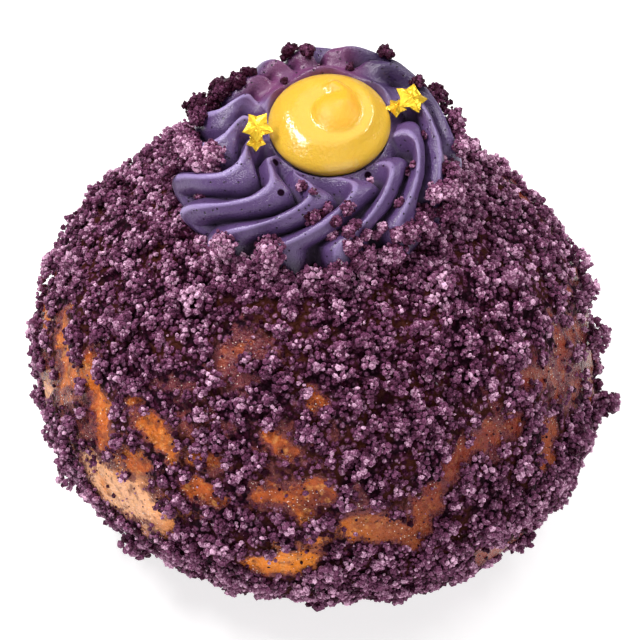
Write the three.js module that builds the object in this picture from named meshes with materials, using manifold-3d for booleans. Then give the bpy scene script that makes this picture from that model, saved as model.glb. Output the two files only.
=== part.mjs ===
// A round filled doughnut with no hole: fried dough coated in purple cake crumbs, a piped cream rosette
// on its top, a custard drop in the rosette's hollow, and foil stars beside the custard.
// Millimetres, +Z up. The origin lies on the flat spot that the dough rests on, below the middle of its top.
// An azimuth is 0 at the front (-Y) and grows towards the right (+X).
import * as THREE from "three";
import { mergeVertices } from "three/addons/utils/BufferGeometryUtils.js";
import Module from "manifold-3d";

const wasm = await Module();
wasm.setup();

// Driving dimensions: the dough
const DOUGH_RADIUS = 41.1;
const WAIST_HEIGHT = 21.3; // where the dough is widest
const DOME_RISE = 37.4; // from the waist up to the top
const BELLY_DEPTH = 22.9; // from the waist down to where the belly's curve would end without the flat spot
const DOME_FULLNESS = 2.05; // exponent of the profile's curve above the waist, 2 being an ellipse
const BELLY_FULLNESS = 2.22; // and below it
const FOOT_SHIFT = new THREE.Vector3(2.8, -0.5, 0); // how far the belly's lowest part has sagged
const SIDE_SHIFT = 0.65; // how far the rest of the dough stands to the left of the rosette's axis
const WAVE = 0.01; // share by which the dough is out of round
const DOUGH_SEGMENTS = 62;
const DOUGH_ROWS = 31;

// Driving dimensions: the crumbs
const COAT = [0.3, 1.8]; // thinnest and thickest place of the coat that the small crumbs make
const CRUMB_STRAY = 0.6; // share of a grid cell by which the coat's bumps stray from the grid
const CRUMB_SPOTS = 165; // places over the whole ball for the large clumps, before the bare ones are left out
const CRUMB_RADIUS = [1.5, 2.7]; // smallest and largest clump
const CLUMP_UNEVEN = [0.8, 1.12]; // how far its corners are from its middle, as shares of the radius
const CLUMP_FLATNESS = 0.85;
const CRUMB_STAND = 0.45; // share of its radius by which a clump's middle stands off the dough
const CRUMB_FLOOR = 5.0; // no clump sits lower than this
const SPUR = { azimuth: 80, height: 22, radius: 2.4, standOff: 3.2 }; // the clump that sticks out at the right

// Driving dimensions: the rosette, with heights above the dough's top
const RIDGES = 14;
const RIDGE_DEPTH = 3.0; // from a crest down into the groove beside it
const RIDGE_SKEW = -0.5; // below 0 the flank on a crest's left is the steeper one
const SWIRL_MIDDLE = new THREE.Vector2(-1.5, 1.0); // about which the crests swirl
const SWIRL_SPAN = [9, 21]; // distances from that middle between which the swirl is given
const SWIRL_TURNS = [-63, -53, -48.5, -51.5, -61.5, -76, -91.5]; // one crest's azimuth at even steps of it
const SQUEEZE = 0.09; // share by which the rosette's edge is drawn in around one azimuth
const SQUEEZE_AZIMUTH = -135;
const TIP_RADIUS = 21.2;
const SHOULDER_RADIUS = 13.2;
const SHOULDER_HEIGHT = 8.3;
const COLLAR_RADIUS = 8.8; // of the rim about the hollow
const COLLAR_HEIGHT = 6.7;
const HOLLOW_HEIGHT = 4.1;
const HOLLOW_SHIFT = 1.6; // to the right of the dough's axis
const SEAT_SHIFT = -1.0; // the rosette's outer edge stands a little to the left of that axis
const EDGE_LEAN = 7; // degrees that the rosette's edge leans to the front
const MIDDLE_LEAN = 12.5; // and its middle with the custard
const SEGMENTS_PER_RIDGE = 6;
const UNDER_ROWS = 3;

// Driving dimensions: the custard, with heights above the dough's top
const CUSTARD_RADIUS = 8.7;
const CUSTARD_BULGE_HEIGHT = 7.55; // of its widest place
const CUSTARD_CREST = 10.3; // where the nub begins
const NUB_RADIUS = 3.4;
const NUB_HEIGHT = 12.9;
const NUB_SHIFT = new THREE.Vector3(0.95, -0.4, 0); // the nub stands a little aside
const NUB_CURL = 2.0; // how far the nub's tip is pulled over
const NUB_CURL_AZIMUTH = 205;
const CUSTARD_SEGMENTS = 28;
const CUSTARD_ROWS = 18;

const GAP = 0.3; // between pieces that touch
const FOIL = 0.3; // thickness of a star
const DEGREE = Math.PI / 180;
const GOLDEN_ANGLE = Math.PI * (3 - Math.sqrt(5));
const TOP_HEIGHT = WAIST_HEIGHT + DOME_RISE;

// Places where the crust shows, each a strip between two spots given as azimuth and height, with its half width
const BARE_STRIPS = [
  { from: [-50, 23], to: [-35, 26], half: 2.6 }, // pale patch, low left
  { from: [-55, 36], to: [-52, 35], half: 1.3 }, // left
  { from: [-38, 36.5], to: [-31, 32.4], half: 1.2 }, // left streak
  { from: [-30, 36.6], to: [-24, 34.6], half: 0.8 }, // left arm
  { from: [-8, 31], to: [-3, 32.7], half: 2.0 }, // middle
  { from: [-12, 20.3], to: [-2, 23], half: 2.5 }, // pale patch, low middle
  { from: [3, 28.6], to: [11.3, 26.7], half: 1.5 }, // middle right
  { from: [17, 24.8], to: [21, 28.7], half: 1.4 }, // right arc, low
  { from: [21, 28.7], to: [28, 33.6], half: 1.4 }, // right arc, middle
  { from: [28, 33.6], to: [43, 34.8], half: 1.4 }, // right arc, high
  { from: [54, 30], to: [50, 27], half: 1.6 }, // right
  { from: [-26, 47], to: [-17, 50.3], half: 0.8 }, // high left streak
  { from: [72, 39], to: [63, 31], half: 1.2 }, // far right
  { from: [-71, 37.6], to: [-59, 34.2], half: 1.2 }, // far left
];
const BARE_TURNS = [0, 130, 230]; // the same strips come round again at the sides and back

// Drifts of crumbs that fell on the rosette: azimuths, places along its skin from seat to hollow, and a count
const DRIFTS = [
  { azimuth: [34, 121], along: [0.2, 0.34], count: 14 }, // right
  { azimuth: [-36, 20], along: [0.2, 0.34], count: 5 }, // front
  { azimuth: [-132, -68], along: [0.2, 0.36], count: 12 }, // left
];
const DRIFT_RADIUS = [1.5, 2.1];
const DRIFT_STAND = 0.3; // share of its radius by which a clump's middle stands off the cream

// Foil stars: where each one lies, how it is turned (degrees about X, Y and Z) and how large it is
const STARS = [
  { name: "gold_star_left", at: [-8.5, -3.45, 68.35], turn: [46, -12, 0], radius: 2.3 },
  { name: "gold_star_left_under", at: [-8.7, -4.2, 66.35], turn: [44, -10, 0], radius: 1.5 },
  { name: "gold_star_right", at: [13.2, 3.4, 68.2], turn: [22, 12, 26], radius: 2.5 },
  { name: "gold_star_right_under", at: [11.6, 1.6, 66.8], turn: [24, -10, 70], radius: 1.4 },
];
const STAR_NOTCH = 0.64; // notch radius as a share of the tip radius
const STAR_CROWN = 0.55; // how far the middle stands above the tips
const STAR_BEND = 0.7; // how far the tips and notches are bent up and down

// Looks
const CRUMB_PURPLE = 0x5a3a58;
const CREAM_PURPLE = 0x54467a;
const CUSTARD_YELLOW = 0xf2c03c;
const FOIL_GOLD = 0xf0b81e;

// A repeatable draw from 0 to 1 for the thing of that number, one stream for each purpose.
function draw(number, stream) {
  const mixed = Math.sin(number * 12.9898 + stream * 78.233) * 43758.5453;
  return mixed - Math.floor(mixed);
}

const between = (range, share) => range[0] + (range[1] - range[0]) * share;
const smooth = (low, high, value) => THREE.MathUtils.smoothstep(value, low, high);

function spot(azimuth, radius, height) {
  return new THREE.Vector3(radius * Math.sin(azimuth), -radius * Math.cos(azimuth), height);
}

// The dough's outline: radius and height at a latitude, from -90 degrees below to 90 above.
function doughProfile(latitude) {
  const rise = Math.sin(latitude);
  const bend = 2 / (rise > 0 ? DOME_FULLNESS : BELLY_FULLNESS);
  const span = rise > 0 ? DOME_RISE : BELLY_DEPTH;
  const height = WAIST_HEIGHT + span * Math.sign(rise) * Math.abs(rise) ** bend;
  return { radius: DOUGH_RADIUS * Math.abs(Math.cos(latitude)) ** bend, height: Math.max(0, height) };
}

// A place on the bare dough. It is a little out of round, it stands to the left and its foot sags aside.
// All of that ends below the rosette, which has an even seat.
function doughPoint(azimuth, latitude) {
  const { radius, height } = doughProfile(latitude);
  const free = 1 - smooth(0.5 * TOP_HEIGHT, 0.82 * TOP_HEIGHT, height);
  const wave = WAVE * free * (Math.sin(2 * azimuth + 0.11 * height) + 0.5 * Math.sin(5 * azimuth - 1));
  const point = spot(azimuth, radius * (1 + wave), height);
  point.addScaledVector(FOOT_SHIFT, 1 - smooth(0, 1.4 * WAIST_HEIGHT, height));
  point.x -= SIDE_SHIFT * (1 - smooth(0.65 * TOP_HEIGHT, 0.9 * TOP_HEIGHT, height));
  return point;
}

// The dough's latitude at a height, and the height of its dome at a radius.
function latitudeAt(height) {
  const offset = height - WAIST_HEIGHT;
  const share = offset / (offset > 0 ? DOME_RISE : BELLY_DEPTH);
  const fullness = offset > 0 ? DOME_FULLNESS : BELLY_FULLNESS;
  return Math.asin(Math.sign(share) * Math.abs(share) ** (fullness / 2));
}

function domeHeight(radius) {
  return WAIST_HEIGHT + DOME_RISE * (1 - (radius / DOUGH_RADIUS) ** DOME_FULLNESS) ** (1 / DOME_FULLNESS);
}

// The direction straight out of a surface, from two steps along it.
function outward(surface, u, v) {
  const step = 0.01;
  const here = surface(u, v);
  const across = surface(u + step, v).sub(here);
  return across.cross(surface(u, v + step).sub(here)).normalize();
}

// A turned grid about +Z, its corners then placed by place(azimuth, row, number).
function turnedGrid(segments, rows, place) {
  const outline = Array.from({ length: rows }, (_, row) => new THREE.Vector2(1, row));
  const geometry = new THREE.LatheGeometry(outline, segments).rotateX(Math.PI / 2);
  const position = geometry.getAttribute("position");
  for (let i = 0; i < position.count; i++) {
    const number = i % (segments * rows);
    const azimuth = Math.floor(number / rows) * ((2 * Math.PI) / segments);
    position.setXYZ(i, ...place(azimuth, number % rows, number));
  }
  return geometry;
}

// A closed geometry as a solid: corners welded, and the triangles that shrink to a line at a pole dropped.
function solidOf(geometry) {
  const points = new THREE.BufferGeometry().setAttribute("position", geometry.getAttribute("position"));
  const welded = mergeVertices(points.setIndex(geometry.index));
  const corners = welded.index.array;
  const kept = [];
  for (let i = 0; i < corners.length; i += 3) {
    const [a, b, c] = corners.slice(i, i + 3);
    if (a !== b && b !== c && c !== a) kept.push(a, b, c);
  }
  const mesh = new wasm.Mesh({
    numProp: 3,
    vertProperties: welded.getAttribute("position").array,
    triVerts: new Uint32Array(kept),
  });
  return new wasm.Manifold(mesh);
}

// A solid as a named mesh. Scraps that a join leaves loose are dropped.
function named(name, solid, colour, roughness, metalness = 0) {
  const [whole] = solid.decompose().sort((one, other) => other.volume() - one.volume());
  const { vertProperties, triVerts } = whole.getMesh();
  const geometry = new THREE.BufferGeometry();
  geometry.setAttribute("position", new THREE.BufferAttribute(vertProperties, 3));
  geometry.setIndex(new THREE.BufferAttribute(triVerts, 1));
  geometry.computeVertexNormals();
  const material = new THREE.MeshStandardMaterial({ color: colour, roughness, metalness });
  const mesh = new THREE.Mesh(geometry, material);
  mesh.name = name;
  return mesh;
}

// One clump of crumbs: an uneven twenty-sided blob, a little flattened along the direction it stands in.
function clump(middle, direction, radius, number) {
  const blob = new THREE.IcosahedronGeometry(1, 0).deleteAttribute("normal").deleteAttribute("uv");
  const geometry = mergeVertices(blob);
  const position = geometry.getAttribute("position");
  const corner = new THREE.Vector3();
  const stand = new THREE.Quaternion().setFromUnitVectors(new THREE.Vector3(0, 0, 1), direction);
  for (let i = 0; i < position.count; i++) {
    const size = radius * between(CLUMP_UNEVEN, draw(position.count * number + i, 5));
    corner.fromBufferAttribute(position, i).multiplyScalar(size);
    corner.z *= CLUMP_FLATNESS;
    corner.applyQuaternion(stand).add(middle);
    position.setXYZ(i, ...corner);
  }
  return solidOf(geometry);
}

// True where the crust shows: the point is nearer to a bare strip than its half width and the margin.
function isBare(point, margin) {
  return BARE_TURNS.some((turn) =>
    BARE_STRIPS.some(({ from, to, half }) => {
      const [start, end] = [from, to].map(([azimuth, height]) =>
        doughPoint((azimuth + turn) * DEGREE, latitudeAt(height)),
      );
      const nearest = new THREE.Line3(start, end).closestPointToPoint(point, true, new THREE.Vector3());
      return nearest.distanceTo(point) < half + margin;
    }),
  );
}

// Clumps spread evenly over the dough on a golden spiral, clear of the rosette, the floor and the bare strips.
function doughClumps() {
  const clumps = [];
  for (let i = 0; i < CRUMB_SPOTS; i++) {
    const latitude = Math.asin(1 - (2 * (i + 0.5)) / CRUMB_SPOTS);
    const azimuth = i * GOLDEN_ANGLE + 0.1 * draw(i, 1);
    const radius = between(CRUMB_RADIUS, draw(i, 2) ** 2);
    const base = doughPoint(azimuth, latitude);
    const clearOfRosette = Math.hypot(base.x, base.y) > TIP_RADIUS - SEAT_SHIFT + radius + 2 * GAP;
    if (base.z < CRUMB_FLOOR || !clearOfRosette || isBare(base, 0.5 * radius)) continue;
    const direction = outward(doughPoint, azimuth, latitude);
    clumps.push(clump(base.addScaledVector(direction, CRUMB_STAND * radius), direction, radius, i));
  }
  const [azimuth, latitude] = [SPUR.azimuth * DEGREE, latitudeAt(SPUR.height)];
  const direction = outward(doughPoint, azimuth, latitude);
  const middle = doughPoint(azimuth, latitude).addScaledVector(direction, SPUR.standOff);
  clumps.push(clump(middle, direction, SPUR.radius, CRUMB_SPOTS));
  return clumps;
}

// The dough with its coat of small crumbs as bumps, left off the flat spot, the bare strips and the seat.
function coatedPoint(azimuth, latitude, number) {
  const base = doughPoint(azimuth, latitude);
  const clear = smooth(TIP_RADIUS + 1, TIP_RADIUS + 3.5, Math.hypot(base.x, base.y));
  const covered = clear * smooth(0, CRUMB_FLOOR, base.z);
  if (covered === 0 || isBare(base, 0)) return base;
  const coat = covered * between(COAT, draw(number, 4));
  return base.addScaledVector(outward(doughPoint, azimuth, latitude), coat);
}

function makeDough() {
  const lowest = latitudeAt(0);
  const cell = [(2 * Math.PI) / DOUGH_SEGMENTS, (Math.PI / 2 - lowest) / (DOUGH_ROWS - 2)];
  const place = (azimuth, row, number) => {
    if (row === 0) return new THREE.Vector3();
    const stray = row === 1 || row === DOUGH_ROWS - 1 ? 0 : CRUMB_STRAY;
    const aside = [7, 8].map((stream, axis) => stray * cell[axis] * (draw(number, stream) - 0.5));
    return coatedPoint(azimuth + aside[0], lowest + (row - 1) * cell[1] + aside[1], number);
  };
  const core = solidOf(turnedGrid(DOUGH_SEGMENTS, DOUGH_ROWS, place));
  const joined = doughClumps().reduce((whole, piece) => whole.add(piece), core);
  return named("dough", joined, CRUMB_PURPLE, 0.85);
}

// The crest line of the rosette's skin, from its seat, over tip, shoulder and collar, into the hollow
const SEAT_RADIUS = TIP_RADIUS - 1.6;
const ROSETTE_SKIN = new THREE.SplineCurve(
  [
    [SEAT_RADIUS, domeHeight(SEAT_RADIUS) - TOP_HEIGHT + GAP],
    [TIP_RADIUS, -0.9],
    [TIP_RADIUS - 1.3, 3.3],
    [TIP_RADIUS - 4.2, 6.6],
    [SHOULDER_RADIUS, SHOULDER_HEIGHT],
    [COLLAR_RADIUS, COLLAR_HEIGHT],
    [COLLAR_RADIUS - 0.7, COLLAR_HEIGHT - 1.3],
    [0.5 * COLLAR_RADIUS, HOLLOW_HEIGHT],
    [0, HOLLOW_HEIGHT],
  ].map(([radius, height]) => new THREE.Vector2(radius, height)),
);
const SHOULDER_SHARE = 4 / 8; // of the way along the skin's points
const COLLAR_SHARE = 5 / 8;
const GROOVE_END = [0.585, 0.64]; // where the grooves run out
const SKIN_STATIONS = [...Array.from({ length: 13 }, (_, step) => step / 16), 7 / 8, 1];
const SWIRL = new THREE.SplineCurve(SWIRL_TURNS.map((turn) => new THREE.Vector2(turn * DEGREE, 0)));

// The azimuth of the first crest at a distance from the swirl's middle.
function crestAzimuth(distance) {
  const share = THREE.MathUtils.inverseLerp(...SWIRL_SPAN, distance);
  return SWIRL.getPoint(THREE.MathUtils.clamp(share, 0, 1)).x;
}

// Where the crest line stands at an azimuth, seen from above. Its outer part is drawn in around one azimuth.
function rosettePlan(azimuth, along) {
  const facing = (0.5 + 0.5 * Math.cos(azimuth - SQUEEZE_AZIMUTH * DEGREE)) ** 3;
  const drawnIn = SQUEEZE * (1 - smooth(0.35, 0.6, along)) * facing;
  const plan = spot(azimuth, ROSETTE_SKIN.getPoint(along).x * (1 - drawnIn), 0);
  plan.x += THREE.MathUtils.lerp(SEAT_SHIFT, HOLLOW_SHIFT, smooth(0, COLLAR_SHARE, along));
  return plan;
}

// How far a place is down a groove: 0 on a crest and 1 in the crease between two round ridges.
function grooveShare(plan, along) {
  const [x, y] = [plan.x - SWIRL_MIDDLE.x, plan.y - SWIRL_MIDDLE.y];
  const turn = RIDGES * (Math.atan2(x, -y) - crestAzimuth(Math.hypot(x, y)));
  const phase = turn + RIDGE_SKEW * (1 - Math.cos(turn));
  const rope = 1 - Math.abs(Math.cos(phase / 2));
  const wave = 0.5 - 0.5 * Math.cos(phase);
  return ((rope + wave) / 2) * (1 - smooth(...GROOVE_END, along));
}

// How far what is piped on top rises for each millimetre to the back.
function leanAt(along) {
  const [edge, middle] = [EDGE_LEAN, MIDDLE_LEAN].map((angle) => Math.tan(angle * DEGREE));
  const inner = smooth(SHOULDER_SHARE / 4, SHOULDER_SHARE, along);
  return edge * smooth(0, SHOULDER_SHARE / 4, along) + (middle - edge) * inner;
}

// The rosette's skin, along being 0 at its seat and 1 in the middle of the hollow.
function rosettePoint(azimuth, along) {
  const tangent = ROSETTE_SKIN.getTangent(along);
  const plan = rosettePlan(azimuth, along);
  const depth = RIDGE_DEPTH * grooveShare(plan, along);
  const height = TOP_HEIGHT + ROSETTE_SKIN.getPoint(along).y + tangent.x * depth;
  const point = spot(azimuth, -tangent.y * depth, height).add(plan);
  point.z += leanAt(along) * point.y;
  const seat = domeHeight(Math.hypot(point.x, point.y)) + GAP;
  return point.setZ(along === 0 ? seat : Math.max(seat, point.z));
}

function rosetteClumps() {
  let number = CRUMB_SPOTS;
  return DRIFTS.flatMap(({ azimuth, along, count }) =>
    Array.from({ length: count }, () => {
      number += 1;
      const place = [between(azimuth, draw(number, 1)) * DEGREE, between(along, draw(number, 3))];
      const radius = between(DRIFT_RADIUS, draw(number, 2));
      const direction = outward(rosettePoint, ...place);
      const middle = rosettePoint(...place).addScaledVector(direction, DRIFT_STAND * radius);
      return clump(middle, direction, radius, number);
    }),
  );
}

function makeRosette() {
  const place = (turned, row) => {
    const along = SKIN_STATIONS[Math.max(0, row - UNDER_ROWS)];
    const azimuth = turned + crestAzimuth(ROSETTE_SKIN.getPoint(along).x);
    const point = rosettePoint(azimuth, along);
    if (row >= UNDER_ROWS) return point;
    const radius = Math.hypot(point.x, point.y) * (row / UNDER_ROWS);
    return spot(azimuth, radius, domeHeight(radius) + GAP);
  };
  const rows = UNDER_ROWS + SKIN_STATIONS.length;
  const cream = solidOf(turnedGrid(RIDGES * SEGMENTS_PER_RIDGE, rows, place));
  const joined = rosetteClumps().reduce((whole, piece) => whole.add(piece), cream);
  return named("rosette", joined, CREAM_PURPLE, 0.5);
}

// The custard's outline, from under its middle, out over the bulging side and up to the nub
const CUSTARD_OUTLINE = new THREE.SplineCurve(
  [
    [0, HOLLOW_HEIGHT + GAP],
    [0.5 * CUSTARD_RADIUS, HOLLOW_HEIGHT + 1.5 * GAP],
    [CUSTARD_RADIUS - 2.3, HOLLOW_HEIGHT + 0.95],
    [CUSTARD_RADIUS - 1.0, CUSTARD_BULGE_HEIGHT - 1.7],
    [CUSTARD_RADIUS - 0.3, CUSTARD_BULGE_HEIGHT - 0.8],
    [CUSTARD_RADIUS, CUSTARD_BULGE_HEIGHT],
    [CUSTARD_RADIUS - 0.35, CUSTARD_BULGE_HEIGHT + 0.8],
    [CUSTARD_RADIUS - 1.5, CUSTARD_BULGE_HEIGHT + 1.65],
    [CUSTARD_RADIUS - 3.3, CUSTARD_CREST - 0.3],
    [1.15 * NUB_RADIUS, CUSTARD_CREST],
    [NUB_RADIUS, CUSTARD_CREST + 0.2],
    [0.92 * NUB_RADIUS, CUSTARD_CREST + 0.7],
    [0.78 * NUB_RADIUS, CUSTARD_CREST + 1.25],
    [0.58 * NUB_RADIUS, CUSTARD_CREST + 1.65],
    [0.38 * NUB_RADIUS, CUSTARD_CREST + 1.95],
    [0, NUB_HEIGHT],
  ].map(([radius, height]) => new THREE.Vector2(radius, height)),
);

function makeCustard() {
  const place = (azimuth, row) => {
    const { x, y } = CUSTARD_OUTLINE.getPointAt(row / (CUSTARD_ROWS - 1));
    const pull = NUB_CURL * smooth(CUSTARD_CREST + 0.6, NUB_HEIGHT, y) ** 1.5;
    const point = spot(azimuth, x, TOP_HEIGHT + y).add(spot(NUB_CURL_AZIMUTH * DEGREE, pull, 0));
    point.addScaledVector(NUB_SHIFT, smooth(CUSTARD_CREST - 0.8, CUSTARD_CREST, y));
    point.x += HOLLOW_SHIFT;
    point.z += leanAt(1) * point.y;
    return point;
  };
  const drop = solidOf(turnedGrid(CUSTARD_SEGMENTS, CUSTARD_ROWS, place));
  return named("custard", drop, CUSTARD_YELLOW, 0.3);
}

// A five-pointed foil star: a thin disc of ten corners, every second one drawn in, its middle raised
// and its points bent up or down by different amounts.
function makeStar({ name, at, turn, radius }, number) {
  const corners = 10;
  const geometry = new THREE.CylinderGeometry(1, 1, FOIL, corners, 1).rotateX(Math.PI / 2);
  const position = geometry.getAttribute("position");
  for (let i = 0; i < position.count; i++) {
    const [x, y, z] = [position.getX(i), position.getY(i), position.getZ(i)];
    const away = Math.hypot(x, y);
    const corner = Math.round((Math.atan2(x, -y) / (2 * Math.PI)) * corners + corners) % corners;
    const reach = radius * (corner % 2 ? STAR_NOTCH : 1);
    const bend = away > 0.5 ? STAR_BEND * (draw(corners * number + corner, 6) - 0.5) : STAR_CROWN;
    position.setXYZ(i, x * reach, y * reach, z + bend);
  }
  const star = named(name, solidOf(geometry), FOIL_GOLD, 0.25, 1);
  star.position.set(...at);
  star.rotation.set(...turn.map((angle) => angle * DEGREE));
  return star;
}

const doughnut = new THREE.Group();
doughnut.name = "doughnut";
doughnut.add(makeDough(), makeRosette(), makeCustard(), ...STARS.map(makeStar));

export default doughnut;
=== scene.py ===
"""A round filled doughnut under purple cake crumbs, with a cream rosette, a custard drop and four foil stars.

Lengths are in millimetres and become metres where a mesh is made. An azimuth is 0 at the front, on -Y, and
grows towards the right, on +X. Heights on the rosette and the custard are above the top of the bare dough.
"""
import math

import bpy
import numpy as np
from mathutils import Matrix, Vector


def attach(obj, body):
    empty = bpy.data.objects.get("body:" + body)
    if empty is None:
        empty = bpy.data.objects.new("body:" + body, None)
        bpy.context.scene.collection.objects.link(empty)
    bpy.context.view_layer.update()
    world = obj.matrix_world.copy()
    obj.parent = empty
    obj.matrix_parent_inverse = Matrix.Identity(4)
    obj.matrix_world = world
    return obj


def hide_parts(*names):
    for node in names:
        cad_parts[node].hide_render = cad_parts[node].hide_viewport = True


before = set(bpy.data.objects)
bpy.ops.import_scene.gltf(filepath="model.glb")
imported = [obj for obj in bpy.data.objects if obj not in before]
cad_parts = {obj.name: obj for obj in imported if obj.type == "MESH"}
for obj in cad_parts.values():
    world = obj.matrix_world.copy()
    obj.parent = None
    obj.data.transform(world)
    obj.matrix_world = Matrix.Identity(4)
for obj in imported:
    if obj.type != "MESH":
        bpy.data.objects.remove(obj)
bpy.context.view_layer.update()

MM = 0.001
scene = bpy.context.scene
FULL_TURN = 2 * math.pi
GOLDEN_TURN = math.pi * (3 - math.sqrt(5))
GAP = 0.3

# The dough
DOUGH_RADIUS = 41.1
WAIST_HEIGHT = 21.3
DOME_RISE = 37.4
BELLY_DEPTH = 22.9
DOME_FULLNESS = 2.05
BELLY_FULLNESS = 2.07
FOOT_SHIFT = (3.5, -1.9)
SIDE_SHIFT = 0.65
WAVE = 0.01
WAVE_TWIST = 0.11
TOP_HEIGHT = WAIST_HEIGHT + DOME_RISE
# Heights between which the waves and the shifts fade out
WAVE_FADE = (0.5 * TOP_HEIGHT, 0.82 * TOP_HEIGHT)
SIDE_FADE = (0.65 * TOP_HEIGHT, 0.9 * TOP_HEIGHT)
SAG_FADE = (0, 1.4 * WAIST_HEIGHT)
CRUST_COLUMNS = 440
CRUST_ROWS = 216
RELIEF_START = (0, 3)

# Noise in layers: depth, wavelength and seed
CRUST_RELIEF = ((0.16, 11.0, 21), (0.07, 3.2, 22))
RAGGED_EDGES = ((0.75, 6.0, 11), (0.65, 2.4, 12))
BED_MOUNDS = ((0.4, 3.4, 23), (0.22, 1.9, 24))
BED_FLOOR = 0.05
CREAM_RELIEF = ((0.1, 7.0, 61), (0.03, 2.2, 62))

# Where the crust shows: strips between two spots given as azimuth and height, with their half widths
BARE_STRIPS = [
    ((-48.5, 24.2), (-34, 23.6), 3.3), ((-42, 30), (-36, 28.9), 1.5),
    ((-59.3, 36.7), (-52, 35.3), 1.3), ((-52, 35.3), (-47.2, 31), 1.3),
    ((-43, 37.9), (-40.8, 37.4), 0.8), ((-38.5, 36.4), (-30.5, 34.3), 1.35),
    ((-26, 34.4), (-20, 33.9), 1.0), ((-23.5, 29.8), (-19.8, 29.2), 1.0),
    ((-8, 30.6), (0, 31), 2.3), ((-12, 19.9), (-2.2, 21.2), 2.1),
    ((6.5, 26.6), (15, 25.4), 1.6), ((15, 25.4), (19.5, 23.6), 1.6),
    ((19.5, 23.6), (23, 27.9), 1.8), ((23, 27.9), (28.2, 31.3), 1.6),
    ((28.2, 31.3), (33.8, 33.9), 1.4), ((33.8, 33.9), (47, 33.2), 1.4),
    ((57, 28), (55, 24), 1.4), ((33, 13), (46, 12.5), 2.0),
    ((-25, 46), (-20.5, 48.8), 0.9), ((-9.8, 39.2), (-4.5, 37.6), 0.7),
    ((-1.5, 44.7), (2, 43.1), 0.7), ((72, 39), (63, 31), 1.2),
    ((-76, 38.1), (-67.8, 35.4), 1.2),
]
# Degrees at which the strips and the thin places come again
BARE_TURNS = (0, 130, 230)
STRIP_EDGE = (0.6, 1.3)
STRIP_MARGIN = 0.9
THIN_RAGGEDNESS = 0.6

# Where the crumbs lie thinly: a spot as azimuth and height, a reach, and the share that is missing there
THIN_PLACES = [
    ((-28, 38), 13, 0.3), ((-20, 47), 7, 0.42), ((-14, 29), 9, 0.25), ((-5, 37), 10, 0.32),
    ((-48, 30), 10, 0.38), ((-62, 30), 8, 0.45), ((-30, 26), 7, 0.28), ((12, 28), 8, 0.32),
    ((40, 33), 8, 0.4), ((58, 32), 9, 0.45), ((70, 30), 9, 0.45),
]

# The crumbs
LARGE_SPOTS = 165
LARGE_RADIUS = (1.5, 2.7)
LARGE_STAND = 0.45
LARGE_JITTER = 0.1
LARGE_COVER = 0.8
LARGE_GRAINS = (50, (0.34, 0.6))
# Lowest heights of large clumps, other clumps and single grains
CRUMB_FLOOR = 5.0
CLUMP_FLOOR = CRUMB_FLOOR - 3
GRAIN_FLOOR = 1.5
FLOOR_GAP = 0.2
# Clumps low down are smaller, by that share over that span of heights
LOW_SIZE = (0.5, 1.0)
LOW_SPAN = (6, 20)
# Clumps that stick out at the right: azimuth, height, radius and stand
SPURS = [
    (80, 19.6, 2.1, 0.6),
    (80, 20.1, 1.9, 1.9),
    (80, 20.5, 1.7, 3.2),
    (87, 28.2, 2.4, 1.6),
    (93, 34.0, 2.0, 1.4),
    (97, 36.6, 2.1, 1.6),
]
# Kinds of clump: count of spots, span of radii, grains in one, span of the grains' radii, and seed
CLUMP_KINDS = {
    "crumb_clumps_fine": (2400, (0.5, 0.85), 6, (0.24, 0.42), 28),
    "crumb_clumps_small": (1650, (0.7, 1.1), 9, (0.27, 0.46), 30),
    "crumb_clumps_round": (1200, (0.85, 1.35), 13, (0.28, 0.5), 32),
    "crumb_clumps_middling": (850, (1.0, 1.7), 18, (0.3, 0.54), 34),
}
WIDE_JITTER = (-0.5, 0.5)
JITTER = (-0.4, 0.4)
LATITUDES = (-1.5, 1.5)
LEAST_COSINE = 0.2
CLEARANCE = 0.3
CLUMP_STAND = (0.1, 0.6)
# The cover that a clump needs, with some chance, and the share that needs none
LEAST_COVER = 0.3
COVER_CHANCE = 0.6
BARE_CLUMPS = 0.045
# Powers of chance that make small sizes commoner
CLUMP_POWER = 1.3
SIZE_POWER = 1.5
SINGLE_POWER = 2
# A clump in its radii: how far down its grains go, how high it is, and how far out they lie
CLUMP_SPAN = 1.2
CLUMP_HEIGHT = 0.8
GRAIN_REACH = (0.5, 0.95)
STRAY = 0.16
STRAY_LIMIT = 1.4
CLUMP_TONE = 0.3
GRAIN_TONE = 0.45
# Painted light: how much lighter the grains on a clump's top are made
TOP_PAINTED_LIGHT = 0.3
GRAIN_STRETCH = (0.78, 1.25)
GRAIN_UNEVENNESS = (0.82, 1.18)
# Single grains: count of spots, span of radii, share that is kept on bare crust, and seed
LOOSE_GRAINS = (4600, (0.26, 0.56), 0.15, 50)
DUST = (9000, (0.13, 0.27), 0.4, 52)
SINGLE_JITTER = 0.06
SINGLE_STAND = 0.5
# Painted shade: single grains lie low in the bed, so their tones stay below this
SINGLE_SHADED_TONE = 0.85
CLUMP_BED = 0.6
SINGLE_BED = 0.8
FOOT_CLUMPS = 70
FOOT_REACH = (19.8, 23.0)
FOOT_RADIUS = (1.0, 2.0)
FOOT_STAND = 0.5
FOOT_GRAINS = (30, (0.3, 0.54))

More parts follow.
